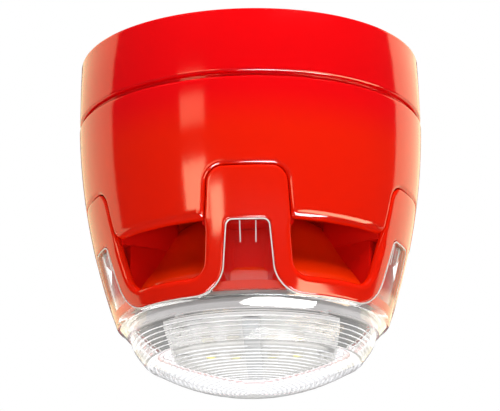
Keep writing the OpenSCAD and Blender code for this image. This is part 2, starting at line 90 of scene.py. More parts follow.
def applyModifier(piece, kind, **settings):
    pick(piece)
    modifier = piece.modifiers.new(kind.lower(), kind)
    for key, value in settings.items():
        setattr(modifier, key, value)
    bpy.ops.object.modifier_apply(modifier=modifier.name)
    return piece


def freeze(piece):
    pick(piece)
    bpy.ops.object.transform_apply(location=True, rotation=True, scale=True)
    return piece


def weld(piece, closed=True, distance=0.002):
    pick(piece)
    editAll()
    bpy.ops.mesh.remove_doubles(threshold=distance * mm)
    if closed:
        bpy.ops.mesh.select_all(action="SELECT")
        bpy.ops.mesh.normals_make_consistent(inside=False)
    objectMode()
    return piece


def smooth(piece, angle=34):
    pick(piece)
    bpy.ops.object.shade_smooth_by_angle(angle=math.radians(angle))
    return piece


def gridPiece(name, columns):
    # a grid primitive whose points are moved onto the columns of a lofted shape
    across, along = len(columns) - 1, len(columns[0]) - 1
    deselect()
    bpy.ops.mesh.primitive_grid_add(x_subdivisions=across, y_subdivisions=along, size=2)
    piece = named(name)
    for vertex in piece.data.vertices:
        i = round((vertex.co.x + 1) / 2 * across)
        j = round((vertex.co.y + 1) / 2 * along)
        vertex.co = Vector(columns[i][j]) * mm
    return piece


def joined(parts, name):
    deselect()
    for part in parts:
        part.select_set(True)
    bpy.context.view_layer.objects.active = parts[0]
    bpy.ops.object.join()
    return named(name)


def fiveTimes(piece):
    # repeats one sector round the axis and joins the five where they meet
    bpy.ops.object.empty_add(rotation=(0, 0, math.radians(72)))
    turn = bpy.context.object
    applyModifier(piece, "ARRAY", count=5, use_relative_offset=False, use_object_offset=True,
                  offset_object=turn, use_merge_vertices=True, use_merge_vertices_cap=True,
                  merge_threshold=0.003 * mm)
    bpy.data.objects.remove(turn)
    return weld(piece, distance=0.003)


def turned(name, outline, steps=240, closed=True):
    # one point is drawn along the outline, then the outline is spun round the axis
    deselect()
    bpy.ops.mesh.primitive_plane_add(size=0.01)
    piece = named(name)
    editAll()
    bpy.ops.mesh.merge(type="CENTER")
    path = list(outline) + ([outline[0]] if closed else [])
    bpy.ops.transform.translate(value=(path[0][0] * mm, 0, path[0][1] * mm))
    for a, b in zip(path, path[1:]):
        bpy.ops.mesh.extrude_region_move(
            TRANSFORM_OT_translate={"value": ((b[0] - a[0]) * mm, 0, (b[1] - a[1]) * mm)})
    bpy.ops.mesh.select_all(action="SELECT")
    bpy.ops.mesh.spin(steps=steps, angle=2 * math.pi, center=(0, 0, 0), axis=(0, 0, 1))
    objectMode()
    return weld(piece)


def editUnderside(piece):
    # opens the piece in edit mode with only its downward faces selected
    pick(piece)
    bpy.ops.object.mode_set(mode="EDIT")
    bpy.ops.mesh.select_all(action="DESELECT")
    objectMode()
    for face in piece.data.polygons:
        face.select = face.normal.z < -0.9
    bpy.ops.object.mode_set(mode="EDIT")


def recess(piece, margin, depth):
    editUnderside(piece)
    bpy.ops.mesh.inset(thickness=margin * mm)
    bpy.ops.mesh.extrude_region_move(TRANSFORM_OT_translate={"value": (0, 0, depth * mm)})
    objectMode()
    return piece


def plate(name, plan, low, high):
    # a flat outline, moved from a filled circle's points and drawn upwards
    deselect()
    bpy.ops.mesh.primitive_circle_add(vertices=len(plan), radius=0.01, fill_type="NGON")
    piece = named(name)
    for vertex, point in zip(piece.data.vertices, plan):
        vertex.co = Vector((point[0] * mm, point[1] * mm, low * mm))
    editAll()
    bpy.ops.mesh.extrude_region_move(TRANSFORM_OT_translate={"value": (0, 0, (high - low) * mm)})
    objectMode()
    return weld(piece)


def bevelled(piece, width, segments=3, angle=40):
    return applyModifier(piece, "BEVEL", width=width * mm, segments=segments,
                         limit_method="ANGLE", angle_limit=math.radians(angle))


def soft(corners, segments=6):
    # a closed outline whose corners (x, y, radius) are rounded
    outline = []
    count = len(corners)
    for i, (x, y, radius) in enumerate(corners):
        here = Vector((x, y))
        if not radius:
            outline.append((x, y))
            continue
        before = (Vector(corners[i - 1][:2]) - here).normalized()
        after = (Vector(corners[(i + 1) % count][:2]) - here).normalized()
        half = before.angle(after) / 2
        reach = radius / math.tan(half)
        centre = here + (before + after).normalized() * (radius / math.sin(half))
        start = here + before * reach - centre
        end = here + after * reach - centre
        swing = start.angle_signed(end)
        for k in range(segments + 1):
            point = start.copy()
            point.rotate(Matrix.Rotation(-swing * k / segments, 2))
            outline.append((centre.x + point.x, centre.y + point.y))
    return outline


def line(a, b, count):
    return [(a[0] + (b[0] - a[0]) * i / count, a[1] + (b[1] - a[1]) * i / count)
            for i in range(count)]


def arc(x, z, radius, start, end, count):
    return [(x + radius * math.cos(math.radians(start + (end - start) * i / count)),
             z + radius * math.sin(math.radians(start + (end - start) * i / count)))
            for i in range(count)]


def wholeCurve(half):
    # half runs from the side of a sector to the middle of its tab
    right = [(roundFrom(x, z), z) for x, z in half]
    right[0] = (halfSector, half[0][1])
    return [(-u, z) for u, z in right] + right[-2::-1]


def sideways(curve):
    # the direction at right angles to a curve, upwards where the curve runs to the right
    result = []
    last = len(curve) - 1
    for i in range(len(curve)):
        a, b = curve[max(i - 1, 0)], curve[min(i + 1, last)]
        along = Vector((b[0] - a[0], b[1] - a[1])).normalized()
        result.append((-along.y, along.x) if 0 < i < last else (0.0, 1.0))
    return result


def shellColumns(low, high, wall, lowRound, highRound, outerRows, innerRows, segments=6):
    lowWay, highWay = sideways(low), sideways(high)
    columns = []
    for i in range(len(low)):
        loop = []
        la, ha = lowRound(low[i][1]), highRound(high[i][1])
        inner = 0.35

        def lowPoint(off, depth):
            loop.append(onBody(low[i][0] + lowWay[i][0] * off, low[i][1] + lowWay[i][1] * off, depth))

        def highPoint(off, depth):
            loop.append(onBody(high[i][0] - highWay[i][0] * off, high[i][1] - highWay[i][1] * off, depth))

        def between(count, offLow, offHigh, depth, back=False):
            a = (low[i][0] + lowWay[i][0] * offLow, low[i][1] + lowWay[i][1] * offLow)
            b = (high[i][0] - highWay[i][0] * offHigh, high[i][1] - highWay[i][1] * offHigh)
            for k in range(1, count):
                t = (count - k if back else k) / count
                loop.append(onBody(a[0] + (b[0] - a[0]) * t, a[1] + (b[1] - a[1]) * t, depth))

        for k in range(segments + 1):
            angle = math.pi / 2 * k / segments
            lowPoint(la - la * math.cos(angle), la - la * math.sin(angle))
        between(outerRows, la, ha, 0)
        for k in range(segments, -1, -1):
            angle = math.pi / 2 * k / segments
            highPoint(ha - ha * math.cos(angle), ha - ha * math.sin(angle))
        for k in range(3):
            angle = math.pi / 2 * k / 2
            highPoint(inner - inner * math.cos(angle), wall - inner + inner * math.sin(angle))
        between(innerRows, inner, inner, wall, back=True)
        for k in range(2, -1, -1):
            angle = math.pi / 2 * k / 2
            lowPoint(inner - inner * math.cos(angle), wall - inner + inner * math.sin(angle))
        loop.append(loop[0])
        columns.append(loop)
    return columns


# shader helpers
class Value:
    # a socket that takes part in sums and products
    def __init__(self, sheet, socket):
        self.sheet, self.socket = sheet, socket

    def maths(self, operation, a, b):
        return self.sheet.node("ShaderNodeMath", {"operation": operation}, {0: a, 1: b})

    def __add__(self, other):
        return self.maths("ADD", self, other)

    def __radd__(self, other):
        return self.maths("ADD", other, self)

    def __sub__(self, other):
        return self.maths("SUBTRACT", self, other)

    def __rsub__(self, other):
        return self.maths("SUBTRACT", other, self)

    def __mul__(self, other):
        return self.maths("MULTIPLY", self, other)

    def __rmul__(self, other):
        return self.maths("MULTIPLY", other, self)


class Finish:
    # one material and the nodes that make it
    def __init__(self, name):
        self.material = bpy.data.materials.new(name)
        self.material.use_nodes = True
        self.tree = self.material.node_tree
        self.shader = self.tree.nodes["Principled BSDF"]
        self.place = self.node("ShaderNodeTexCoord", {}, {}, "Object")

    def node(self, kind, settings, inputs, output=0):
        made = self.tree.nodes.new(kind)
        for key, value in settings.items():
            if key == "stops":
                ramp = made.color_ramp
                while len(ramp.elements) < len(value):
                    ramp.elements.new(0.5)
                for element, (position, colour) in zip(ramp.elements, value):
                    element.position = position
                    element.color = (*colour, 1)
            else:
                setattr(made, key, value)
        for key, value in inputs.items():
            self.feed(made.inputs[key], value)
        return Value(self, made.outputs[output])

    def feed(self, socket, value):
        if isinstance(value, Value):
            self.tree.links.new(value.socket, socket)
        else:
            socket.default_value = value

    def noise(self, scale, detail=3.0, roughness=0.5):
        return self.node("ShaderNodeTexNoise", {}, {"Vector": self.place, "Scale": scale,
                                                    "Detail": detail, "Roughness": roughness})

    def stretchedNoise(self, scale, stretch):
        moved = self.node("ShaderNodeMapping", {}, {"Vector": self.place, "Scale": stretch})
        return self.node("ShaderNodeTexNoise", {}, {"Vector": moved, "Scale": scale, "Detail": 3.0})

    def blend(self, factor, a, b):
        mix = self.tree.nodes.new("ShaderNodeMix")
        mix.data_type = "RGBA"
        self.feed(mix.inputs[0], factor)
        self.feed(mix.inputs[6], (*a, 1) if isinstance(a, tuple) else a)
        self.feed(mix.inputs[7], (*b, 1) if isinstance(b, tuple) else b)
        return Value(self, mix.outputs[2])

    def height(self):
        return self.node("ShaderNodeSeparateXYZ", {}, {0: self.place}, 2)

    def ramp(self, value, start, end, first=0.0, last=1.0, kind="LINEAR"):
        return self.node("ShaderNodeMapRange", {"interpolation_type": kind},
                         {0: value, 1: start, 2: end, 3: first, 4: last})

    def sine(self, value):
        return self.node("ShaderNodeMath", {"operation": "SINE"}, {0: value})

    def bump(self, height, strength, distance):
        return self.node("ShaderNodeBump", {}, {"Strength": strength, "Distance": distance * mm,
                                                "Height": height})

    def set(self, **inputs):
        for key, value in inputs.items():
            self.feed(self.shader.inputs[key.replace("_", " ")], value)
        return self.material


def glossPlastic(name, dark, light, roughness=0.1, coat=0.35, grain=900, relief=0.03, lower=None):
    f = Finish(name)
    cloud = f.noise(38, 2)
    # towards the bottom the colour blends to a more orange tone: painted warm light on the downward-facing
    # bottom of the body
    if lower:
        sunk = f.ramp(f.height(), -0.022, -0.036, kind="SMOOTHSTEP")
        dark, light = f.blend(sunk, dark, lower), f.blend(sunk, light, lower)
    speck = f.noise(grain, 4, 0.6)
    fine = f.noise(grain * 3.1, 2)
    colour = f.blend(cloud, dark, light)
    return f.set(Base_Color=colour, Roughness=speck * 0.05 + cloud * 0.03 + (roughness - 0.04),
                 Coat_Weight=coat, Coat_Roughness=0.04, IOR=1.52,
                 Normal=f.bump(speck * 0.7 + fine * 0.3, 0.25, relief))


def mattePlastic(name, dark, light, roughness=0.42, grain=1400, relief=0.02, coat=0.0):
    f = Finish(name)
    cloud = f.noise(60, 3)
    grainy = f.noise(grain, 4, 0.65)
    return f.set(Base_Color=f.blend(cloud * 0.6 + grainy * 0.4, dark, light),
                 Roughness=grainy * 0.16 + (roughness - 0.08), Coat_Weight=coat,
                 Normal=f.bump(grainy, 0.35, relief))


def metal(name, dark, light, roughness=0.3, stretch=(1, 1, 9), scale=260):
    f = Finish(name)
    brushed = f.stretchedNoise(scale, stretch)
    stain = f.noise(120, 4)
    return f.set(Base_Color=f.blend(stain * 0.7 + brushed * 0.3, dark, light), Metallic=1.0,
                 Roughness=brushed * 0.18 + stain * 0.08 + (roughness - 0.12),
                 Normal=f.bump(brushed, 0.18, 0.02))


def rubber(name, dark, light):
    f = Finish(name)
    dust = f.noise(90, 5, 0.7)
    grainy = f.noise(2600, 3)
    return f.set(Base_Color=f.blend(dust, dark, light), Roughness=dust * 0.12 + 0.62,
                 Normal=f.bump(grainy, 0.4, 0.02))


def clearPlastic(name, colour=(0.985, 0.99, 0.99), roughness=0.015, ring=0.0):
    f = Finish(name)
    ripple = f.noise(70, 2)
    fine = f.noise(1500, 2)
    if ring:
        # heights in metres: frosted rim, clear tabs above it, ringed dome and cap below it; the dome and cap
        # carry painted light and dark ring lines, and the rim and dome painted light in the emission
        height = f.height()
        below = f.ramp(height, -0.0788, -0.0792)
        above = f.ramp(height, -0.0817, -0.0812)
        tab = f.ramp(height, -0.0735, -0.0718, 1.0, 0.0)
        cap = f.ramp(height, -0.0884, -0.0888)
        dome = f.ramp(height, -0.0819, -0.0823)
        coat = above * tab * 0.85 + 0.08
        roughness = below * above * ring + roughness
        flat = f.node("ShaderNodeVectorMath", {"operation": "MULTIPLY"}, {0: f.place, 1: (1, 1, 0)})
        radius = f.node("ShaderNodeVectorMath", {"operation": "LENGTH"}, {0: flat}, 1)
        # painted ring lines: a darker grey base colour on each ring line, painted light in the emission
        # between them
        capRingShade = f.sine(radius * (2 * math.pi / 0.001327))
        sideRingShade = f.sine(height * (2 * math.pi / 0.001))
        paintedRingShade = (capRingShade * cap + sideRingShade * (1 - cap)) * 0.5 + 0.5
        colour = f.blend(dome * (paintedRingShade * 0.85 + 0.15), colour, (0.7, 0.695, 0.705))
        # painted light in the emission: faint in the dome between the ring lines, stronger in the frosted rim
        # band
        paintedDomeGlow = f.blend(dome * (1 - paintedRingShade * 0.6), (0, 0, 0), (0.13, 0.129, 0.13))
        paintedGlow = f.blend(below * above * (fine * 0.3 + 0.85), paintedDomeGlow, (0.24, 0.23, 0.23))
    else:
        coat, paintedGlow = 0.2, (0, 0, 0, 1)
        colour = (*colour, 1)
    return f.set(Base_Color=colour, Roughness=roughness, Transmission_Weight=1.0, IOR=1.12,
                 Coat_Weight=coat, Coat_Roughness=0.05, Coat_IOR=1.6, Emission_Color=paintedGlow,
                 Emission_Strength=1.0,
                 Normal=f.bump(ripple * 0.6 + fine * 0.4, 0.06, 0.05))


# the red gloss turns orange towards the bottom with painted warm light
redGloss = glossPlastic("redGlossPlastic", (0.78, 0.0006, 0.0026), (0.84, 0.001, 0.0036), coat=0.0,
                        lower=(0.83, 0.011, 0.0004))
# a brighter, more orange copy of the red for the horn's inside: painted light where the inside lies in shade
redInnerPaintedLight = glossPlastic("redInnerPaintedLightPlastic", (0.86, 0.026, 0.0006), (0.92, 0.034, 0.001), roughness=0.16,
                        coat=0.0)
# the lens finish carries painted ring lines and painted light in its emission
clearLens = clearPlastic("clearPolycarbonate", ring=0.22)
redDull = mattePlastic("redDullPlastic", (0.66, 0.003, 0.0015), (0.74, 0.006, 0.002), 0.55)
redDull.node_tree.nodes["Principled BSDF"].inputs["Specular IOR Level"].default_value = 0.04
print("main finishes made")


def finished(piece, body, material, replaced=(), angle=34):
    piece.data.materials.clear()
    piece.data.materials.append(material)
    smooth(piece, angle)
    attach(piece, body)
    if replaced:
        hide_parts(*replaced)
    return piece


# base ring
base = {"topRadius": 49.5, "lowRadius": 49.9, "bottom": -18.6, "floor": -2.6, "inner": 47.0,
        "groove": 48.3, "lip": -19.6, "edge": 0.9, "slotAt": 28, "slotHalf": 5.5, "slotWide": 2.3}
baseOutline = soft([
    (9.95, 0, 0), (40.55, 0, 0), (40.55, -1, 0), (43.45, -1, 0), (43.45, 0, 0),
    (base["topRadius"], 0, 0.9), (base["lowRadius"] - 0.15, -8, 30),
    (base["lowRadius"], base["bottom"], base["edge"]),
    (base["groove"], base["bottom"], 0.25), (base["groove"], base["lip"], 0.2),
    (base["inner"], base["lip"], 0.2), (base["inner"], base["floor"], 0.8), (9.95, base["floor"], 0)])
baseRing = turned("baseRing", baseOutline, 256)
for side in (-1, 1):
    middle, half, wide = side * base["slotAt"], base["slotHalf"], base["slotWide"]
    slotPlan = soft([(middle - half, -wide, 2.29), (middle + half, -wide, 2.29),
                     (middle + half, wide, 2.29), (middle - half, wide, 2.29)], 8)
    slotCutter = plate("slotCutter", slotPlan, -4, 1)
    applyModifier(baseRing, "BOOLEAN", operation="DIFFERENCE", object=slotCutter, solver="EXACT")
    bpy.data.objects.remove(slotCutter)
finished(baseRing, "base", redGloss, ["base_housing"], 30)
print("base ring turned")


# upper body
upper = {"top": -19.9, "bottom": -58.4, "notchTop": -44.35, "wall": 2.4, "lip": 1.15, "edge": 0.8}
notchHalf, notchCorner = 11.45, 4.75
notchSlope = 1.2 / 19.3
notchFoot = notchHalf + notchSlope * (-49.1 - upper["bottom"])
notch = (line((bodyRadius(upper["bottom"]) * math.sin(math.radians(36)), upper["bottom"]),
              (notchFoot + 1.3, upper["bottom"]), 22)
         + arc(notchFoot + 1.3, upper["bottom"] + 1.3, 1.3, 270, 180, 10)
         + line((notchFoot, upper["bottom"] + 1.3), (notchHalf, -49.1), 14)
         + arc(notchHalf - notchCorner, -49.1, notchCorner, 0, 90, 16)
         + line((notchHalf - notchCorner, upper["notchTop"]), (0, upper["notchTop"]), 10)
         + [(0, upper["notchTop"])])
lowEdge = wholeCurve(notch)
lengths = [0]
for a, b in zip(lowEdge, lowEdge[1:]):
    lengths.append(lengths[-1] + math.dist(a, b))
topEdge = [(halfSector * (2 * d / lengths[-1] - 1), upper["top"]) for d in lengths]


def lipRound(z):
    return upper["lip"] + max(0, 1 - (z - upper["bottom"]) / 1.5) * 1.1


upperShell = gridPiece("upperBodyShell", shellColumns(
    lowEdge, topEdge, upper["wall"], lipRound, lambda z: upper["edge"], 34, 12, 9))
fiveTimes(upperShell)
finished(upperShell, "head", redGloss, ["upper_body"], 50)
upperRing = turned("upperBodyRing",
                   soft([(45.25, -22.38, 0.2), (47.9, -22.38, 0), (47.9, -19.95, 0),
                         (45.25, -19.95, 0.3)]), 192)
finished(upperRing, "head", redGloss)
print("upper body made")


# horn frame: tabs, band and windows
band = {"bottom": -78, "sill": -73, "corner": 4, "foot": 12.4, "half": 11.2, "tabCorner": 4.5,
        "tabTop": -44.6, "flare": 8, "windowFoot": 7.1, "windowHalf": 6.3, "windowCorner": 1.8,
        "windowTop": -58.7}
sideAt = math.sin(math.radians(36))
counts = (14, 16, 26, 14, 10)
tabCurve = (line((bodyRadius(band["sill"]) * sideAt, band["sill"]),
                 (band["foot"] + band["corner"], band["sill"]), counts[0])
            + arc(band["foot"] + band["corner"], band["sill"] + band["corner"], band["corner"], 270, 180,
                  counts[1])
            + line((band["foot"], band["sill"] + band["corner"]), (band["half"], -49.1), counts[2])
            + arc(band["half"] - band["tabCorner"], -49.1, band["tabCorner"], 0, 90, counts[3])
            + line((band["half"] - band["tabCorner"], band["tabTop"]), (0, band["tabTop"]), counts[4])
            + [(0, band["tabTop"])])
flareZ = band["bottom"] + band["flare"]


def windowCurve(gap, bottom):
    foot, half = band["windowFoot"] - gap, band["windowHalf"] - gap
    turn = flareZ - bottom
    top = band["windowTop"] - gap
    return (line((bodyRadius(bottom) * sideAt, bottom), (foot + turn, bottom), counts[0])
            + arc(foot + turn, flareZ, turn, 270, 180, counts[1])
            + line((foot, flareZ), (half, top - band["windowCorner"]), counts[2])
            + arc(half - band["windowCorner"], top - band["windowCorner"], band["windowCorner"], 0, 90,
                  counts[3])
            + line((half - band["windowCorner"], top), (0, top), counts[4])
            + [(0, top)])


def mouthRound(z):
    t = min(max((-57.5 - z) / 5, 0), 1)
    return 0.75 + 1.15 * t * t * (3 - 2 * t)


hornBand = gridPiece("hornBand", shellColumns(
    wholeCurve(windowCurve(0, band["bottom"])), wholeCurve(tabCurve), 2.4,
    lambda z: 0.55, mouthRound, 16, 10, 7))
fiveTimes(hornBand)
finished(hornBand, "head", redGloss, ["horn_frame"], 50)

septum = {"nose": 24.5, "half": 16.6}
tangent = math.tan(math.radians(septum["half"]))
noseHalf = septum["nose"] * math.sin(math.radians(septum["half"]))
noseY = -septum["nose"] * math.cos(math.radians(septum["half"]))
lowPlan = soft([(-noseHalf, noseY, 1.4), (-38.6 * tangent, -38.6, 0), (-7.4, -39.6, 0), (-7.3, -38.9, 0),
                (-4, -36, 0.6),
                (4, -36, 0.6), (7.3, -38.9, 0), (7.4, -39.6, 0), (38.6 * tangent, -38.6, 0),
                (noseHalf, noseY, 1.4)])
highPlan = soft([(-noseHalf, noseY, 1.4), (-41.5 * tangent, -41.5, 0), (41.5 * tangent, -41.5, 0),
                 (noseHalf, noseY, 1.4)])
walls = []
for name, plan, low, high in (("septumLow", lowPlan, -74.5, -59.6), ("septumHigh", highPlan, -59.6, -41.6)):
    wall = bevelled(plate(name, plan, low, high), 0.18, 2)
    for i in range(5):
        pick(wall)
        bpy.ops.object.duplicate()
        copy = bpy.context.object
        copy.rotation_euler = (0, 0, math.radians(72 * i))
        walls.append(freeze(copy))
    bpy.data.objects.remove(wall)
finished(joined(walls, "hornSepta"), "head", redDull)
flange = turned("hornFlange", soft([(34.6, -76.6, 0.3), (38.2, -76.6, 0), (38.4, -74.4, 0),
                                    (34.6, -74.4, 0.5)]), 192)
finished(flange, "head", redInnerPaintedLight)
print("horn frame made")


# horn cone and ceiling
coneOutline = [(0.0, -46.3), (3, -46.36), (6, -46.55), (10, -47.1), (14, -47.95), (18, -49.3),
               (20, -50.4), (22, -51.8), (23.4, -53),
               (24.6, -54.3), (25.9, -55.9), (27.2, -57.7), (29.5, -61.3), (31.9, -64.9), (33.2, -66.5),
               (34.5, -68.1), (36, -70.1),
               (37.2, -71.8), (37.3, -74.38), (35.4, -74.38), (35.4, -72.6), (32.6, -69.5), (29.9, -66.2),
               (25.2, -59.3), (22.6, -56),
               (20.3, -53.6), (16.5, -51.3), (8.5, -48.9), (0.0, -48.3)]
cone = turned("hornCone", coneOutline, 192, closed=False)
finished(cone, "head", redInnerPaintedLight, ["horn_cone"], 45)
ceilingOutline = [(7, -39.8), (9, -39.9), (12, -40.2), (15, -40.7), (18.5, -41.45), (22, -42.4),
                  (25, -43.5), (28, -44.8), (30.5, -46.25),
                  (33, -47.9), (35.3, -49.65), (37.5, -51.6), (39.2, -53.3), (40.6, -55), (41.6, -56.5),
                  (42.25, -57.7), (42.4, -58),
                  (42.5, -57.5), (42.5, -55.2), (40.6, -53), (37.5, -49.6), (33, -45.9), (28, -42.8),
                  (22, -40.4), (20.5, -40),
                  (20.5, -37.4), (14.6, -37.4), (14.6, -38.6), (7, -38.6)]
ceiling = turned("hornCeiling", ceilingOutline, 192)
finished(ceiling, "head", redInnerPaintedLight, ["horn_plate"], 45)
print("horn made")


# lens
lens = {"wall": 2.0, "gap": 0.2, "skin": 0.05, "shelfEdge": -77.9, "faceRows": 6, "shelf": -78.05,
        "rim": -78.5,
        "cap": -89.2, "capRadius": 30.8, "bottom": -98.0, "sideRidges": 6, "capRidges": 22}
edge = wholeCurve(windowCurve(lens["gap"], lens["shelf"]))
rimStops = (bodyRadius(lens["rim"]) * sideAt, 15.4, 8.4, 4.2, 2.6, 0)
rimHalf = []
for k, count in enumerate(counts):
    rimHalf += line((rimStops[k], lens["rim"]), (rimStops[k + 1], lens["rim"]), count)
rimHalf.append((0, lens["rim"]))
rimCurve = wholeCurve(rimHalf)
edgeWay = sideways(edge)
capDrop = lens["cap"] - lens["bottom"]
capSphere = (lens["capRadius"] ** 2 + capDrop ** 2) / (2 * capDrop)


def capHeight(r, depth=0.0):
    return lens["bottom"] + depth + capSphere - math.sqrt(capSphere ** 2 - r * r)


outerTail = [(38.75, -78.68), (38.5, -78.85), (38.2, -78.98), (38.0, -79.06), (37.9, -79.2),
             (37.55, -79.62), (36.9, -80.36),
             (36.3, -81.02), (35.95, -81.34), (35.72, -81.44), (35.55, -81.36), (35.3, -81.02),
             (35.2, -81.05), (35.16, -81.3),
             (35.08, -82.0)]
for k in range(1, 7):
    t = k / 6
    outerTail.append((35.08 + (31.7 - 35.08) * t + 0.55 * math.sin(math.pi * t), -82.0 - (88.3 - 82.0) * t))
outerTail += [(31.1, -89.05), (30.4, -89.65), (29.3, -90.15)]
for r in (28, 25.5, 23, 20.5, 18, 15.5, 13, 10.5, 8, 5.5, 3, 0.0):
    outerTail.append((r, capHeight(r)))
innerTail = [(0.0, capHeight(0, 0.7))]
innerCap = 29.2
for k in range(lens["capRidges"]):
    a, b = innerCap * k / lens["capRidges"], innerCap * (k + 1) / lens["capRidges"]
    innerTail += [(a + 0.1, capHeight(a, 0.55)), (b - 0.12, capHeight(b, 0.55) + 0.4)]
sideStart, sideEnd = (30.3, -88.8), (33.9, -81.8)
innerTail.append((sideStart[0] - 0.35, sideStart[1] + 0.1))
for k in range(lens["sideRidges"]):
    t, s = k / lens["sideRidges"], (k + 1) / lens["sideRidges"]
    a = (sideStart[0] + (sideEnd[0] - sideStart[0]) * t, sideStart[1] + (sideEnd[1] - sideStart[1]) * t)
    b = (sideStart[0] + (sideEnd[0] - sideStart[0]) * s, sideStart[1] + (sideEnd[1] - sideStart[1]) * s)
    innerTail += [(a[0] + 0.3, a[1] + 0.1), (b[0] + 0.02, b[1] - 0.22), (b[0] - 0.2, b[1])]
innerTail += [(34.2, -80.9), (34.6, -79.8), (34.8, -78.4), (34.8, -77.5), (34.9, -77.4), (35.9, -77.4),
              (36, -77.5), (36, -78.05)]
lensColumns = []
for i in range(len(edge)):
    loop = []
    u, z = edge[i]
    du, dz = edgeWay[i]
    phi = rimCurve[i][0] / 45
    free = z > lens["shelfEdge"]  # free of the shelf that the rim stands on
    for off, depth in ((0.0, 0.35), (0.1, 0.15), (0.3, 0.05)):
        loop.append(onBody(u - du * off * free, z - dz * off * free - (0 if free else off * 0.5), depth))
    a = (u - du * 0.5 * free, z - dz * 0.5 * free - (0 if free else 0.2))
    for k in range(lens["faceRows"] + 1):
        t = k / lens["faceRows"]
        loop.append(onBody(a[0] + (rimCurve[i][0] - a[0]) * t, a[1] + (lens["rim"] - a[1]) * t,
                           lens["skin"]))
    for r, h in outerTail:
        loop.append((r * math.sin(phi), -r * math.cos(phi), h))
    for r, h in innerTail:
        loop.append((r * math.sin(phi), -r * math.cos(phi), h))
    foot = (rimCurve[i][0], lens["shelf"])
    a = (u - du * 0.2 * free, z - dz * 0.2 * free)
    for k in range(5):
        t = k / 4
        loop.append(onBody(foot[0] + (a[0] - foot[0]) * t, foot[1] + (a[1] - foot[1]) * t,
                           lens["skin"] + lens["wall"]))
    loop.append(onBody(u, z, lens["wall"] - 0.2))
    loop.append(loop[0])
    lensColumns.append(loop)
lensShell = gridPiece("lensShell", lensColumns)
fiveTimes(lensShell)
finished(lensShell, "head", clearLens, ["lens"], 24)

tabRib = {"at": 2.3, "half": 0.16, "top": -58.95, "foot": -64.6, "deep": 0.7}
ribParts = []
for side in (-1, 1):
    columns = []
    for u in (-1, -0.5, 0.5, 1):
        column = []
        for k in range(13):
            z = tabRib["foot"] + (tabRib["top"] - tabRib["foot"]) * k / 12
            column.append(onBody(side * tabRib["at"] + u * tabRib["half"], z,
                                 2.08 + (0 if abs(u) < 1 else 0.1)))
        for k in range(12, -1, -1):
            z = tabRib["foot"] + (tabRib["top"] - tabRib["foot"]) * k / 12
            taper = 0.2 + 0.8 * min(1, k / 4)
            column.append(onBody(side * tabRib["at"] + u * tabRib["half"], z, 2.1 + tabRib["deep"] * taper))
        column.append(column[0])
        columns.append(column)
    ribParts.append(gridPiece("rib", columns))
# the tab ribs and the edge bead are opaque white: a painted highlight for the light caught in the clear lens's
# ribs and edge
paintedGlintWhite = mattePlastic("paintedGlintPlastic", (0.85, 0.8, 0.78), (0.95, 0.92, 0.9), 0.3)
# a thin white strip along the lens edge: a painted highlight
beadColumns = []
for i in range(len(edge)):
    u, z = edge[i]
    du, dz = edgeWay[i]
    column = []
    for off, depth in ((-0.02, 0.3), (-0.02, 0.08), (0.06, 0.0), (0.26, 0.0), (0.32, 0.06), (0.32, 0.3),
                       (-0.02, 0.3)):
        column.append(onBody(u - du * off, z - dz * off, depth))
    beadColumns.append(column)
bead = gridPiece("lensEdgeBead", beadColumns)
fiveTimes(bead)
finished(bead, "head", paintedGlintWhite)
ribs = joined(ribParts, "lensTabRibs")
fiveTimes(ribs)
finished(ribs, "head", paintedGlintWhite)
print("lens made")


# strobe board, seen through the lens
strobe = {"low": -82.3, "high": -80.8, "radius": 31.1, "side": 24.4, "sideY": 18.6, "rim": 0.9,
          "recess": 0.35, "rowX": (-12.8, -5.5, 5.5, 12.8), "rowY": (-8, 8)}
whiteReflector = mattePlastic("whiteReflector", (0.86, 0.86, 0.85), (0.93, 0.93, 0.92), 0.3, 900, 0.015)
front = [(strobe["radius"] * math.sin(math.radians(a)),
          -strobe["radius"] * math.cos(math.radians(a))) for a in range(-45, 46, 3)]
boardPlan = (front + [(strobe["side"], -strobe["sideY"]), (strobe["side"], strobe["sideY"])]
             + [(-x, -y) for x, y in front] + [(-strobe["side"], strobe["sideY"]),
                                               (-strobe["side"], -strobe["sideY"])])
board = plate("reflectorBoard", boardPlan, strobe["low"], strobe["high"])
recess(board, strobe["rim"], strobe["recess"])
bevelled(board, 0.12, 2)
finished(board, "head", whiteReflector, ["strobe_board"], 30)

ledWhite = mattePlastic("ledPackage", (0.82, 0.8, 0.72), (0.9, 0.88, 0.8), 0.35)
phosphor = Finish("ledPhosphor")
phosphorGrain = phosphor.noise(4200, 3)
# the phosphor carries a faint painted yellow light in its emission
phosphor.set(Base_Color=phosphor.blend(phosphorGrain, (0.85, 0.78, 0.08), (0.95, 0.92, 0.25)),
             Roughness=phosphorGrain * 0.2 + 0.25, Emission_Color=(0.95, 0.95, 0.2, 1),
             Emission_Strength=0.5,
             Normal=phosphor.bump(phosphorGrain, 0.3, 0.02))
led = {"package": (3.5, 2.8, 1.2), "wall": 0.38, "well": 0.4, "dome": (1.4, 1.06, 0.4), "sunk": 0.3,
       "domeSunk": 0.48}
packages, domes = [], []
for x in strobe["rowX"]:
    for y in strobe["rowY"]:
        deselect()
        bpy.ops.mesh.primitive_cube_add(size=1, location=(x * mm, y * mm,
                                                          (strobe["low"] - led["sunk"]) * mm))
        package = named("package")
        package.scale = Vector(led["package"]) * mm
        freeze(package)
        recess(package, led["wall"], led["well"])
        packages.append(bevelled(package, 0.1, 2))
        deselect()
        bpy.ops.mesh.primitive_uv_sphere_add(segments=28, ring_count=12, radius=1,
                                             location=(x * mm, y * mm, (strobe["low"] - led["domeSunk"]) * mm))
        dome = named("dome")
        dome.scale = Vector(led["dome"]) * mm
        domes.append(freeze(dome))
finished(joined(packages, "ledPackages"), "head", ledWhite, ["strobe_leds"])
finished(joined(domes, "ledPhosphorDomes"), "head", phosphor.material, angle=60)

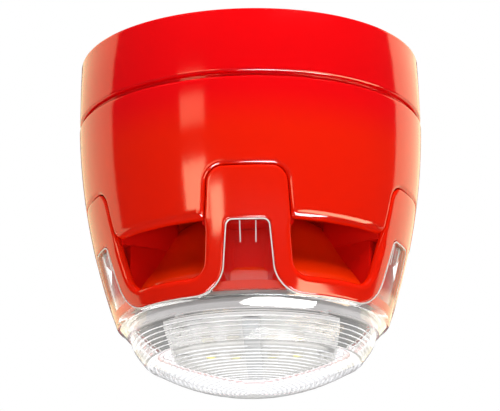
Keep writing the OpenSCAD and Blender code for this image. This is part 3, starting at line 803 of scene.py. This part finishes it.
guide = {"half": 2.3, "front": -28.5, "back": 21.5, "low": -85.3, "pitch": 2.5}
guidePlan = [(guide["front"], guide["low"] + 2.98)]
for k in range(int((guide["back"] - guide["front"]) / guide["pitch"])):
    y = guide["front"] + k * guide["pitch"]
    guidePlan += [(y + 0.05, guide["low"] + 0.35), (y + guide["pitch"] - 0.5, guide["low"])]
guidePlan += [(guide["back"], guide["low"] + 0.3), (guide["back"], guide["low"] + 2.98)]
spine = plate("lightGuide", guidePlan, -guide["half"], guide["half"])
spine.rotation_euler = (math.pi / 2, 0, math.pi / 2)
freeze(spine)
bevelled(spine, 0.12, 2, 50)
frosted = mattePlastic("frostedGuide", (0.6, 0.62, 0.64), (0.76, 0.78, 0.8), 0.2)
finished(spine, "head", frosted, ["light_guide"], 25)
print("strobe board made")


# finishes of the pieces that keep their own shape
finishes = {
    "blackRubber": (rubber("blackRubber", (0.012, 0.012, 0.013), (0.035, 0.035, 0.036)),
                    ["cable_grommet", "head_seal"]),
    "greyRubber": (rubber("greyRubber", (0.3, 0.3, 0.3), (0.42, 0.42, 0.41)),
                   ["ceiling_gasket", "lens_seal"]),
    "terminalPlastic": (mattePlastic("terminalPlastic", (0.72, 0.72, 0.7), (0.84, 0.84, 0.82)),
                        ["terminal_block_front", "terminal_block_rear"]),
    "zincSteel": (metal("zincSteel", (0.5, 0.51, 0.53), (0.74, 0.75, 0.78), 0.3),
                  ["terminal_screws", "earth_screw", "chassis_screws", "clamp_screws", "horn_screws"]),
    "nickelBrass": (metal("nickelBrass", (0.6, 0.55, 0.4), (0.8, 0.75, 0.6), 0.32), ["wire_clamps"]),
    "phosphorBronze": (metal("phosphorBronze", (0.55, 0.32, 0.16), (0.75, 0.5, 0.28), 0.28, (9, 1, 1)),
                       ["contact_leaves"]),
    "brass": (metal("brass", (0.6, 0.42, 0.14), (0.82, 0.64, 0.28), 0.27),
              ["earth_terminal", "contact_pins", "piezo_plate"]),
    "greyChassis": (mattePlastic("greyChassis", (0.5, 0.5, 0.5), (0.6, 0.6, 0.6), 0.4), ["head_chassis"]),
    "chipEpoxy": (mattePlastic("chipEpoxy", (0.02, 0.02, 0.022), (0.045, 0.045, 0.048), 0.5, 2600),
                  ["microcontroller"]),
    "capacitorCase": (metal("capacitorCase", (0.5, 0.5, 0.53), (0.7, 0.71, 0.74), 0.22),
                      ["reservoir_capacitors", "strobe_driver_parts"]),
    "ferrite": (mattePlastic("ferrite", (0.035, 0.035, 0.037), (0.075, 0.075, 0.078), 0.55, 1800),
                ["drive_inductor", "piezo_clamp"]),
    "darkTray": (mattePlastic("darkTray", (0.05, 0.046, 0.042), (0.095, 0.088, 0.082), 0.5, 1500),
                 ["strobe_tray"]),
    "creamNylon": (mattePlastic("creamNylon", (0.72, 0.68, 0.55), (0.84, 0.8, 0.68), 0.38),
                   ["link_header", "strobe_header"]),
    "maroonSwitch": (mattePlastic("maroonSwitch", (0.22, 0.012, 0.016), (0.34, 0.022, 0.026), 0.35,
                                  coat=0.2), ["tone_switch"]),
    "whiteNylon": (mattePlastic("whiteNylon", (0.78, 0.78, 0.76), (0.88, 0.88, 0.86), 0.34),
                   ["tone_lever_%d" % i for i in range(1, 6)] + ["volume_dial", "strobe_screws"]),
    "blueTrimmer": (mattePlastic("blueTrimmer", (0.02, 0.07, 0.3), (0.035, 0.11, 0.42), 0.32, coat=0.2),
                    ["volume_trimmer"]),
    "piezoCeramic": (mattePlastic("piezoCeramic", (0.66, 0.64, 0.58), (0.8, 0.78, 0.72), 0.5, 2400),
                     ["piezo_ceramic"]),
    "redWire": (glossPlastic("redWire", (0.42, 0.01, 0.008), (0.55, 0.02, 0.014), 0.3, 0.1),
                ["piezo_leads", "strobe_wires"]),
}
solder = Finish("circuitBoard")
weave = solder.noise(1600, 2)
tracks = solder.node("ShaderNodeTexVoronoi", {"feature": "DISTANCE_TO_EDGE"},
                     {"Vector": solder.place, "Scale": 160.0})
edges = solder.node("ShaderNodeValToRGB", {"stops": [(0.0, (1, 1, 1)), (0.09, (0, 0, 0))]}, {0: tracks})
solder.set(Base_Color=solder.blend(edges, (0.008, 0.12, 0.045), (0.02, 0.24, 0.1)),
           Roughness=weave * 0.1 + 0.22,
           Coat_Weight=0.4, Normal=solder.bump(edges * 0.7 + weave * 0.3, 0.3, 0.03))
finishes["circuitBoard"] = (solder.material, ["main_board"])
for material, names in finishes.values():
    for name in names:
        mesh = nodes[name].data
        mesh.materials.clear()
        mesh.materials.append(material)
print("finishes given")


# camera, light and stage
camera = {"distance": 0.618767, "scale": 1.006, "pitch": 16.753, "roll": -0.843, "turn": 1.5,
          "focal": 2140.03}
data = bpy.data.cameras.new("camera")
view = bpy.data.objects.new("camera", data)
bpy.context.scene.collection.objects.link(view)
data.sensor_width = 36
data.lens = camera["focal"] / 500 * 36
data.clip_start = 0.01
scaleUp = camera["scale"]
e, roll, turn = (math.radians(camera[k]) for k in ("pitch", "roll", "turn"))
target = Vector((-0.000433, 0, -0.041724)) * scaleUp
back = Vector((0, -math.cos(e), -math.sin(e)))
right = Vector((1, 0, 0))
up = right.cross(-back)
right2 = right * math.cos(roll) + up * math.sin(roll)
up2 = up * math.cos(roll) - right * math.sin(roll)
axes = Matrix((right2, up2, back)).transposed().to_4x4()
axes.translation = target + back * camera["distance"] * scaleUp
view.matrix_world = Matrix.Rotation(turn, 4, "Z") @ axes
bpy.context.scene.camera = view

floorSettings = {"height": -0.42, "radius": 1.7}
deselect()
bpy.ops.mesh.primitive_circle_add(vertices=160, radius=floorSettings["radius"], fill_type="NGON",
                                  location=(0, 0, floorSettings["height"]))
floor = named("floor")
floor.data.materials.append(mattePlastic("paleFloor", (0.74, 0.74, 0.73), (0.8, 0.8, 0.79), 0.6, 40))
floor.visible_glossy = False

lamps = {
    "stripUpper": {"azimuth": -36, "elevation": 12.5, "distance": 1.3, "size": (0.36, 0.14),
                   "power": 0.55, "colour": (1, 0.6, 0.34), "kind": "shine"},
    "stripLower": {"azimuth": -36, "elevation": -3.6, "distance": 1.3, "size": (0.36, 0.27), "power": 2.4,
                   "colour": (1, 0.72, 0.42), "kind": "shine"},
    "legStrip": {"azimuth": -22, "elevation": -8, "distance": 1.3, "size": (0.2, 0.22), "power": 1.4,
                 "colour": (1, 0.7, 0.42), "kind": "shine"},
    "lipStrip": {"azimuth": 69, "elevation": -32, "distance": 1.3, "size": (1.4, 0.6), "power": 30,
                 "colour": (1, 0.74, 0.46), "kind": "shine"},
    "underGlow": {"azimuth": 44, "elevation": -68, "distance": 1.1, "size": (0.8, 0.45), "power": 34,
                  "colour": (1, 0.98, 0.97), "kind": "shine"},
    "keyRight": {"azimuth": 38, "elevation": 50, "distance": 1.5, "size": (0.9, 0.9), "power": 25,
                 "colour": (1, 0.97, 0.93), "kind": "fill"},
    "keyLeft": {"azimuth": -48, "elevation": 54, "distance": 1.5, "size": (0.9, 0.9), "power": 14,
                "colour": (1, 0.97, 0.93), "kind": "fill"},
    "below": {"azimuth": 6, "elevation": -58, "distance": 1.1, "size": (0.9, 0.6), "power": 24,
              "colour": (1, 1, 1), "kind": "fill"},
    "mouthFill": {"azimuth": 8, "elevation": -22, "distance": 1.5, "size": (1.2, 0.8), "power": 13,
                  "colour": (1, 0.98, 0.95), "kind": "fill"},
    "rearFill": {"azimuth": 172, "elevation": 48, "distance": 1.6, "size": (1.6, 1.2), "power": 13,
                 "colour": (1, 0.98, 0.95), "kind": "fill"},
    "leftBack": {"azimuth": -132, "elevation": 4, "distance": 1.5, "size": (1.75, 2.2), "power": 17,
                 "colour": (1, 0.86, 0.5), "kind": "shine"},
    "rightBack": {"azimuth": 140, "elevation": 4, "distance": 1.5, "size": (1.5, 2.2), "power": 18,
                  "colour": (1, 0.9, 0.56), "kind": "shine"},
}
for name, lamp in lamps.items():
    data = bpy.data.lights.new(name, "AREA")
    data.shape = "RECTANGLE"
    data.size, data.size_y = lamp["size"]
    data.energy = lamp["power"]
    data.color = lamp["colour"]
    thing = bpy.data.objects.new(name, data)
    bpy.context.scene.collection.objects.link(thing)
    a, h = math.radians(lamp["azimuth"]), math.radians(lamp["elevation"])
    way = Vector((math.sin(a) * math.cos(h), -math.cos(a) * math.cos(h), math.sin(h)))
    thing.location = way * lamp["distance"] + Vector((0, 0, -0.05))
    thing.rotation_euler = way.to_track_quat("Z", "Y").to_euler()
    thing.visible_camera = False
    thing.visible_transmission = False
    thing.visible_glossy = lamp["kind"] != "fill"
    thing.visible_diffuse = lamp["kind"] != "shine"

world = bpy.data.worlds.new("studio")
bpy.context.scene.world = world
world.use_nodes = True
tree = world.node_tree
shade = tree.nodes["Background"]
shade.inputs["Color"].default_value = (1, 0.99, 0.975, 1)
shade.inputs["Strength"].default_value = 0.06
path = tree.nodes.new("ShaderNodeLightPath")
shown = shade.outputs[0]
for ray, strength, colour in (("Is Transmission Ray", 1.35, (0.96, 0.98, 1, 1)),
                              ("Is Camera Ray", 1.0, (1, 1, 1, 1))):
    backdrop = tree.nodes.new("ShaderNodeBackground")
    backdrop.inputs["Color"].default_value = colour
    backdrop.inputs["Strength"].default_value = strength
    mix = tree.nodes.new("ShaderNodeMixShader")
    clean = tree.nodes.new("ShaderNodeMath")
    clean.operation = "LESS_THAN"
    clean.inputs[1].default_value = 6.5 if ray == "Is Transmission Ray" else 0.5
    tree.links.new(path.outputs["Glossy Depth"], clean.inputs[0])
    both = tree.nodes.new("ShaderNodeMath")
    both.operation = "MULTIPLY"
    tree.links.new(path.outputs[ray], both.inputs[0])
    tree.links.new(clean.outputs[0], both.inputs[1])
    tree.links.new(both.outputs[0], mix.inputs[0])
    tree.links.new(shown, mix.inputs[1])
    tree.links.new(backdrop.outputs[0], mix.inputs[2])
    shown = mix.outputs[0]
tree.links.new(shown, tree.nodes["World Output"].inputs[0])
bpy.context.scene.view_settings.view_transform = "Standard"
print("stage lit")
